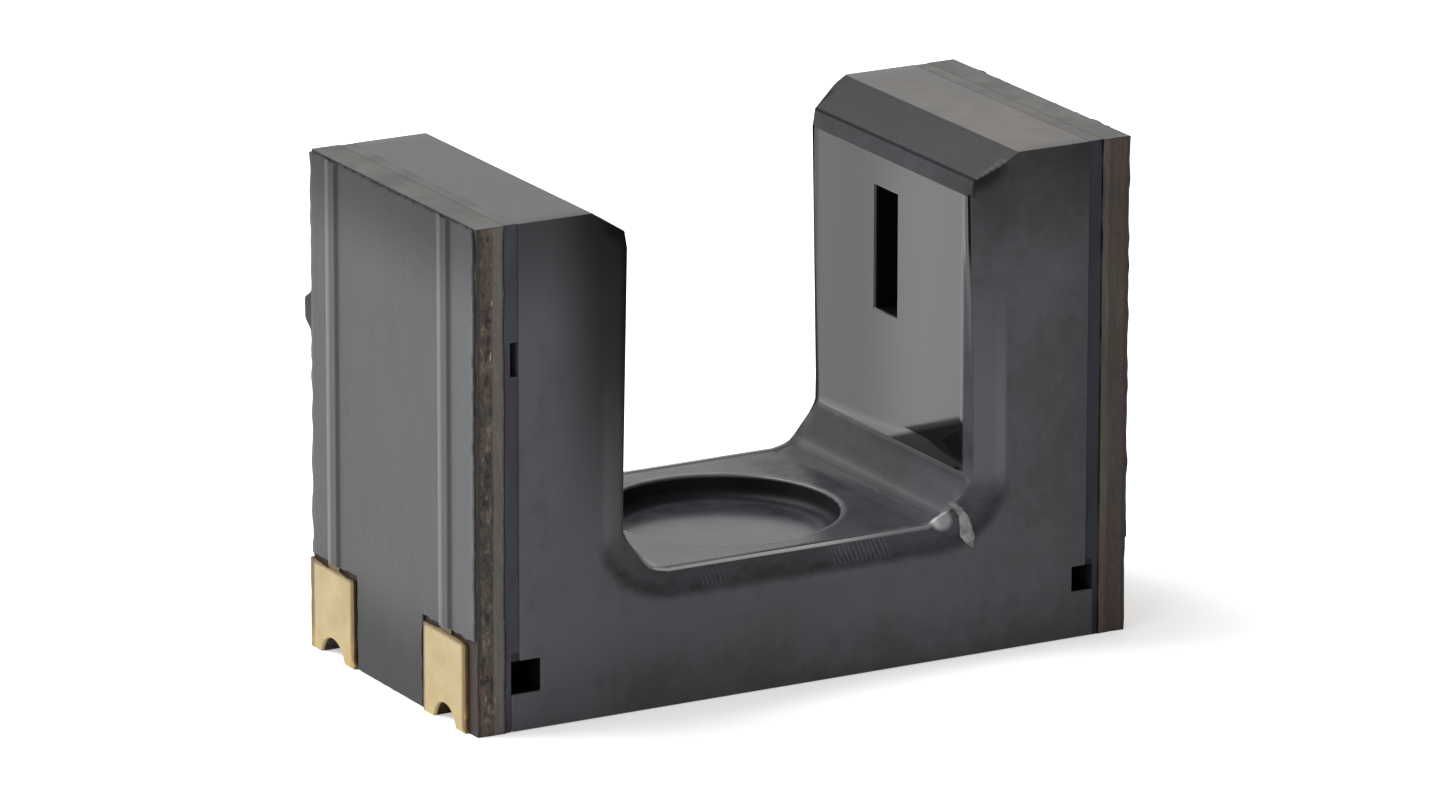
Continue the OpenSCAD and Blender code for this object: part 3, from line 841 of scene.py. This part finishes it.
def cut_corners(piece, distances):
    """Cuts the slot's surface across, at distances up from the foot of each round corner."""
    edit(piece)
    for side in (-1, 1):
        for distance in distances:
            angle = min(max(distance / CORNER_R, 0), math.pi / 2)
            beyond = distance - angle * CORNER_R
            normal = Vector((side * math.cos(angle), 0, math.sin(angle)))
            middle = Vector((side * CORNER_X, 0, CORNER_Z)) + normal * beyond
            bpy.ops.mesh.select_all(action="SELECT")
            bpy.ops.mesh.bisect(plane_co=middle * MM, plane_no=normal)
    leave()


def steps(low, high, count):
    """The levels between low and high that part it in count equal steps."""
    return [low + (high - low) * i / count for i in range(1, count)]


def ripple(position, wave):
    """Smooth noise for an uneven edge. A wave is its size, the length of its features and a seed."""
    size, step, seed = wave
    x, y, z = position
    return size * noise.noise(Vector((x / step + seed, y / step, z / step)))


def soft_step(share):
    """0 at 0 and below, 1 at 1 and above, smooth between."""
    share = min(max(share, 0), 1)
    return share * share * (3 - 2 * share)


# Pieces

# Radii of the case's edges
DISH_FOOT_RADIUS = 0.07
DISH_RIM_RADIUS = 0.03
MOUTH_RADIUS = 0.065
UNDERSIDE_RADIUS = 0.02
GROUND_RADIUS = 0.007
EDGE_RADIUS = 0.012

# Edges sharper than this many degrees are rounded
SHARP_ANGLE = 12

# A shift of the slot's surface takes points this far outside it and this deep in the plastic, and
# fades out over this height at the top. The strip gives way to the bead as the surface turns level
SPARE = 0.004
SKIN = 0.06
FADE_HEIGHT = 0.1
TURN = 1.2

# How near to an edge a point counts as on it
NEAR = 0.01


def slot_side(x, z):
    """How far a point lies in the plastic from the slot's outline, and the direction into it."""
    across, up = abs(x) - CORNER_X, z - CORNER_Z
    if across > 0 and up < 0:
        reach = math.hypot(across, up)
        return reach - CORNER_R, across / reach, up / reach
    if across > 0:
        return across - CORNER_R, 1, 0
    return -CORNER_R - up, 0, -1


def hump(share):
    """1 at 0, falling to 0 at -1 and 1."""
    return math.cos(math.pi / 2 * min(abs(share), 1))


def corner_shift(x, z):
    """How far a round corner's surface is set into the plastic: less than 0 on its band and lips."""
    across, sunk = abs(x) - CORNER_X, CORNER_Z - z
    angle = min(max(math.atan2(across, sunk), 0), math.pi / 2)
    along = CORNER_R * angle + min(across, 0) - min(sunk, 0)
    half, middle = (BAND_END - BAND_START) / 2, (BAND_END + BAND_START) / 2
    shift = GROOVE_SET * hump(along / GROOVE_HALF)
    for edge, rise in ((BAND_START, LIP_RISE), (BAND_END, LIP_RISE * UPPER_LIP)):
        shift -= rise * hump((along - CORNER_R * edge) / LIP_HALF)
    if BAND_START < angle < BAND_END:
        shift += CORNER_R * (math.cos(half) / math.cos(angle - middle) - 1)
    return shift


def edge_radius(place):
    """The radius of the case's edge at a place."""
    x, y, z = place
    if abs(math.hypot(x, y) - DISH_R) < NEAR and z < FLOOR_Z + NEAR:
        return DISH_RIM_RADIUS if z > FLOOR_Z - NEAR else DISH_FOOT_RADIUS
    if z < NEAR:
        return UNDERSIDE_RADIUS
    if z > HEIGHT - NEAR:
        return GROUND_RADIUS
    on_face = abs(y) > HALF_DEPTH - NEAR
    if on_face and abs(x) < MOUTH_SIDE + 2 * NEAR and z > MOUTH_FOOT - 2 * NEAR:
        return MOUTH_RADIUS
    return EDGE_RADIUS


def border_shift(behind, floorness):
    """How far the slot's surface is set into the plastic at a distance behind the mouth."""
    strip = STRIP_SET * min(max(1 - behind / STRIP_WIDTH, 0), 1)
    strip += RECESS_SET * hump((behind - RECESS_MIDDLE) / RECESS_HALF)
    bead_half = BEAD_WIDTH / 2
    bead = -BEAD_RISE * hump((behind - bead_half) / bead_half)
    line_half = LINE_WIDTH / 2
    line = LINE_SET * hump((behind - BEAD_WIDTH - line_half) / line_half)
    return strip * (1 - floorness) + (bead + line) * floorness


def make_case():
    """The case with soft edges, the border inside its mouths and the bands in its round corners."""
    piece = copy_of("case", "moulded_case")
    round_edges(piece, edge_radius, DISH_FOOT_RADIUS, SHARP_ANGLE)
    cut_at(piece, 1, [side * (MOUTH_Y - level) for level in BORDER_LEVELS for side in (-1, 1)])
    start, end = CORNER_R * BAND_START, CORNER_R * BAND_END
    distances = [GROOVE_HALF * step for step in LIP_STEPS]
    distances += [edge + LIP_HALF * step for edge in (start, end) for step in LIP_STEPS]
    distances += steps(GROOVE_HALF, start - LIP_HALF, CUTS_BELOW)
    distances += [end + LIP_HALF * step for step in STEPS_ABOVE]
    cut_corners(piece, distances)
    for vertex in piece.data.vertices:
        x, y, z = vertex.co / MM
        inside, across, up = slot_side(x, z)
        behind = MOUTH_Y - abs(y)
        if not (-SPARE < inside < SKIN) or z > BAND_FOOT + FADE_HEIGHT:
            continue
        fade = soft_step(1 - inside / SKIN)
        shift = corner_shift(x, z)
        if behind < STRIP_WIDTH:
            border = border_shift(max(behind, 0), soft_step(-up * TURN))
            shift += border * soft_step((BAND_FOOT - z) / FADE_HEIGHT)
        away = math.dist((x, -y, z), (BLOB_X, BLOB_Y, BLOB_Z))
        shift -= BLOB_RISE * hump(away / BLOB_R)
        vertex.co.x += math.copysign(across, x) * shift * fade * MM
        vertex.co.z += up * shift * fade * MM
    finish_piece(piece, case_material(), "case")


# The burr that runs from the slot's right corner down its bevel: x, z and half width along its middle
BURR = (
    (1.310, 1.235, 0.000), (1.368, 1.208, 0.026), (1.412, 1.168, 0.032), (1.442, 1.110, 0.034),
    (1.444, 1.050, 0.046), (1.440, 0.985, 0.055), (1.455, 0.925, 0.036), (1.480, 0.870, 0.000),
)
BURR_RISE = 0.022
BURR_WAVE = (0.2, 0.04, 4.0)

# How wide the bevel is in the slot's round corner, about
CORNER_BEVEL = 0.2


def bevel_depth(x, z):
    """The bevel's y at a place in the slot's round corner."""
    away = slot_side(x, z)[0]
    return -HALF_DEPTH + MOUTH_DEPTH * (1 - min(max(away / CORNER_BEVEL, 0), 1))


def make_burr():
    """A small flat burr of plastic, drawn out from a ball along its path."""
    bpy.ops.object.select_all(action="DESELECT")
    bpy.ops.mesh.primitive_uv_sphere_add(segments=20, ring_count=36, radius=1)
    piece = bpy.context.view_layer.objects.active
    piece.name = "mould_burr"
    last = len(BURR) - 1
    for vertex in piece.data.vertices:
        share = math.acos(min(max(vertex.co.z, -1), 1)) / math.pi * last
        turn = math.atan2(vertex.co.y, vertex.co.x)
        before = min(int(share), last - 1)
        first, second = (Vector(BURR[i]) for i in (before, before + 1))
        x, z, half = first.lerp(second, share - before)
        ahead = (second - first).to_2d().normalized()
        half *= 1 + ripple((x, 0, z), BURR_WAVE)
        x += -ahead.y * math.cos(turn) * half
        z += ahead.x * math.cos(turn) * half
        y = bevel_depth(x, z) + math.sin(turn) * min(half, BURR_RISE)
        vertex.co = Vector((x, y, z)) * MM
    edit(piece)
    bpy.ops.mesh.remove_doubles(threshold=MERGE_REACH * MM)
    bpy.ops.mesh.normals_make_consistent(inside=False)
    leave()
    piece.data.materials.append(burr_material())
    choose(piece)
    bpy.ops.object.shade_smooth()
    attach(piece, "root")


# Bumps where the boards were parted from their panel: height of the middle, half length, rise.
# A steepness above 1 makes them flat in the middle
BUMP_STEEP = 1.5
EDGE_BUMPS = (
    (3.53, 0.13, 0.035), (2.33, 0.12, 0.045), (1.73, 0.07, 0.04),
    (1.25, 0.05, 0.03), (0.84, 0.08, 0.04),
)

# The waves of the sawn edges, how far in these lie, where they fade, and the cuts that carry them
SAWN_WAVES = ((0.014, 0.22, 3.1), (0.009, 0.07, 7.7))
SAWN_LOSS = 0.008
TOP_FADE = 0.05
BOARD_UP = 120
BOARD_ACROSS = 6

# The mask runs out over the nub that the left board was broken off at
NUB_Z = 2.72
NUB_HALF = 0.17
NUB_RISE = 0.10
NUB_STEEP = 1.6

# How far the mask stops short of the board's sawn front edge, and its share of that at the rear
MASK_INSET = 0.026
INSET_FADE = 0.15
REAR_SHARE = 0.3

# The mask's lower end, its uneven edges, how far they reach in, their radius, and its mesh
MASK_FOOT = 0.02
MASK_SIDE_WAVE = (0.018, 0.13, 5.0)
MASK_END_WAVE = (0.014, 0.08, 9.0)
MASK_RIM = 0.05
OPENING_RIM = 0.04
MASK_EDGE = 0.009
MASK_ACROSS = 150
MASK_UP = 210


def edge_bump(z):
    """How far the parted edge stands out at a height."""
    total = 0
    for middle, half, rise in EDGE_BUMPS:
        total += rise * soft_step(BUMP_STEEP * (1 - abs(z - middle) / half))
    return total


def make_board(end, material):
    """A board with the rough sawn edges that its panel left."""
    node = end + "_board"
    sign = -1 if end == "emitter" else 1
    piece = copy_of(node, end + "_laminate")
    cut_at(piece, 2, steps(0, HEIGHT, BOARD_UP))
    cut_at(piece, 0, [sign * level for level in steps(BOARD_INNER, BOARD_FACE, BOARD_ACROSS)])
    for vertex in piece.data.vertices:
        x, y, z = vertex.co / MM
        if abs(y) < HALF_DEPTH - NEAR:
            continue
        wave = sum(ripple((x, y, z), kind) for kind in SAWN_WAVES) - SAWN_LOSS
        if y > 0:
            wave += edge_bump(z)
        below_top = soft_step((HEIGHT - z) / TOP_FADE)
        vertex.co.y += math.copysign(1, y) * wave * below_top * MM
    finish_piece(piece, material, node)


def ridge_height(y):
    """How far the mask rises over the tracks at y."""
    rise = MASK_FACE - BOARD_FACE - MASK_T
    total = 0
    for middle in (FRONT_Y, REAR_Y):
        away = abs(y - middle) - (RIDGE_HALF - RIDGE_SOFT)
        total += rise * soft_step(1 - away / RIDGE_SOFT)
    return total


def in_opening(y, z, spare=0):
    """Whether the mask is open there, round a terminal."""
    if z > PAD_TOP + MASK_GAP + spare:
        return False
    return y < FRONT_Y + PAD_HALF + MASK_GAP + spare or y > REAR_Y - PAD_HALF - MASK_GAP - spare


def make_mask(end, material):
    """The solder mask: a fine sheet that rises over the tracks, with an uneven edge."""
    sign = -1 if end == "emitter" else 1
    high = HEIGHT - MASK_BACK
    bpy.ops.object.select_all(action="DESELECT")
    bpy.ops.mesh.primitive_grid_add(x_subdivisions=MASK_ACROSS, y_subdivisions=MASK_UP, size=1)
    piece = bpy.context.view_layer.objects.active
    piece.name = end + "_solder_mask"
    for vertex in piece.data.vertices:
        y = vertex.co.x * 2 * HALF_DEPTH
        z = MASK_FOOT + (vertex.co.y + 0.5) * (high - MASK_FOOT)
        vertex.co = Vector((sign * BOARD_FACE, y, z)) * MM
    edit(piece)
    bpy.ops.mesh.select_all(action="DESELECT")
    leave()
    for face in piece.data.polygons:
        middle = face.center / MM
        face.select = in_opening(middle.y, middle.z)
    bpy.ops.object.mode_set(mode="EDIT")
    bpy.ops.mesh.select_mode(type="FACE")
    bpy.ops.mesh.delete(type="FACE")
    leave()
    for vertex in piece.data.vertices:
        x, y, z = vertex.co / MM
        rise = ridge_height(y)
        place = (x, y, z)
        rim = max(abs(y) - HALF_DEPTH, z - high, MASK_FOOT - z)
        near = soft_step(1 + rim / MASK_RIM)
        if in_opening(y, z, OPENING_RIM):
            near = 1
        inset = MASK_INSET * soft_step(1 + (abs(y) - HALF_DEPTH) / INSET_FADE)
        if y >= 0:
            inset *= REAR_SHARE
        y += near * ripple(place, MASK_SIDE_WAVE) - math.copysign(inset, y)
        if end == "emitter" and y > 0:
            y += NUB_RISE * soft_step(NUB_STEEP * (1 - abs(z - NUB_Z) / NUB_HALF)) * near
        z += near * ripple(place, MASK_END_WAVE)
        vertex.co = Vector((x + sign * rise, y, z)) * MM
    choose(piece)
    thick = piece.modifiers.new("thickness", "SOLIDIFY")
    thick.thickness = MASK_T * MM
    thick.offset = 1
    bpy.ops.object.modifier_apply(modifier="thickness")
    edit(piece)
    bpy.ops.mesh.normals_make_consistent(inside=False)
    leave()
    # One end's sheet faces inwards, so it grew into its board, and moves out by its thickness
    inner = min(sign * v.co.x for v in piece.data.vertices) / MM
    if inner < BOARD_FACE - MASK_T / 2:
        for vertex in piece.data.vertices:
            vertex.co.x += sign * MASK_T * MM
    apply_bevel(piece, MASK_EDGE, segments=2, angle=60)
    finish_piece(piece, material, end + "_mask")


# How far the rear terminals spread towards the board's edge
REAR_STRETCH = 0.04

# The uneven edges of the plating, how much lower its upper edge lies, and the cuts that carry them
PAD_TOP_WAVE = (0.03, 0.11, 2.0)
PAD_SIDE_WAVE = (0.008, 0.12, 6.0)
PAD_LOSS = 0.008
PAD_EDGE = 0.01
PAD_CUT_FOOT = 0.3
PAD_UP = 12
PAD_ACROSS = 22
ON_EDGE = 0.004


def make_terminal(end, place, material):
    """A gold terminal with soft edges and an uneven upper edge."""
    node = end + "_terminal_" + place
    piece = copy_of(node, node + "_plated")
    low, high = (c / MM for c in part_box(node))
    cut_at(piece, 2, steps(PAD_CUT_FOOT, PAD_TOP, PAD_UP))
    cut_at(piece, 1, steps(low.y, high.y, PAD_ACROSS))
    for vertex in piece.data.vertices:
        x, y, z = vertex.co / MM
        if abs(z - PAD_TOP) < ON_EDGE:
            vertex.co.z += (ripple((0, y, z), PAD_TOP_WAVE) - PAD_LOSS) * MM
        if place == "rear":
            vertex.co.y += REAR_STRETCH * soft_step((y - low.y) / (high.y - low.y)) * MM
        on_side = min(abs(y - low.y), abs(y - high.y)) < ON_EDGE
        if on_side and z < PAD_TOP - NEAR:
            vertex.co.y += ripple((0, y, z), PAD_SIDE_WAVE) * MM
    apply_bevel(piece, PAD_EDGE, segments=3, angle=40)
    finish_piece(piece, material, node)


def dress(node, material):
    """Gives a CAD node its finish."""
    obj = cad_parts[node]
    obj.data.materials.clear()
    obj.data.materials.append(material)


# The stage

AMBIENT = 0.42
FLOOR_LIFT = 0.42
FLOOR_SIZE = 4000
FLOOR_DROP = 0.0005
LAMP_AIM = 2

# Name, place, size and strength of each lamp
LAMPS = (
    ("key", (-190, 190, 340), 340, 3.4),
    ("side", (-330, -130, 100), 240, 0.45),
)


def make_stage():
    """A pale floor, a white surround and soft lamps."""
    bpy.ops.object.select_all(action="DESELECT")
    bpy.ops.mesh.primitive_plane_add(size=FLOOR_SIZE * MM, location=(0, 0, -FLOOR_DROP * MM))
    floor = bpy.context.view_layer.objects.active
    floor.name = "floor"
    net = Finish("pale_floor", Roughness=0.9, Base_Color=rgb(0.8, 0.8, 0.8), Emission_Strength=1.0)
    white = net.mix(net.seen(), rgb(0, 0, 0), rgb(FLOOR_LIFT, FLOOR_LIFT, FLOOR_LIFT))
    net.link(white, net.shader.inputs["Emission Color"])
    floor.data.materials.append(net.material)
    world = bpy.data.worlds.new("studio")
    bpy.context.scene.world = world
    world.use_nodes = True
    surround = Net(world.node_tree)
    background = world.node_tree.nodes["Background"]
    background.inputs["Color"].default_value = rgb(1, 1, 1)
    surround.link(surround.seen() * (1 - AMBIENT) + AMBIENT, background.inputs["Strength"])
    for lamp in LAMPS:
        add_lamp(*lamp)


def add_lamp(name, place, size, energy):
    """A square lamp that is turned towards the middle of the object."""
    data = bpy.data.lights.new(name, "AREA")
    data.size = size * MM
    data.energy = energy
    light = bpy.data.objects.new(name, data)
    bpy.context.collection.objects.link(light)
    light.location = Vector(place) * MM
    toward = Vector((0, 0, LAMP_AIM)) * MM - light.location
    light.rotation_mode = "QUATERNION"
    light.rotation_quaternion = toward.to_track_quat("-Z", "Y")


# Everything is made here

make_camera()
make_stage()
make_case()
make_burr()
laminate = laminate_material()
mask = mask_material()
gold = gold_material()
film = film_material()
copper = copper_material()
paste = paste_material()
wire = wire_material()
resin = resin_material()
chips = {
    "emitter": crystal_material("emitter_crystal", rgb(0.10, 0.05, 0.12), rgb(0.22, 0.13, 0.26)),
    "detector": crystal_material("detector_silicon", rgb(0.04, 0.06, 0.12), rgb(0.09, 0.12, 0.20)),
}
for end in ("emitter", "detector"):
    make_board(end, laminate)
    make_mask(end, mask)
    for place in ("front", "rear"):
        make_terminal(end, place, gold)
    inner = (
        ("bond_film", film), ("die_land", copper), ("wire_land", copper), ("paste", paste),
        ("chip", chips[end]), ("wire", wire), ("resin", resin),
    )
    for kind, material in inner:
        dress(end + "_" + kind, material)

bpy.context.scene.view_settings.view_transform = "Standard"
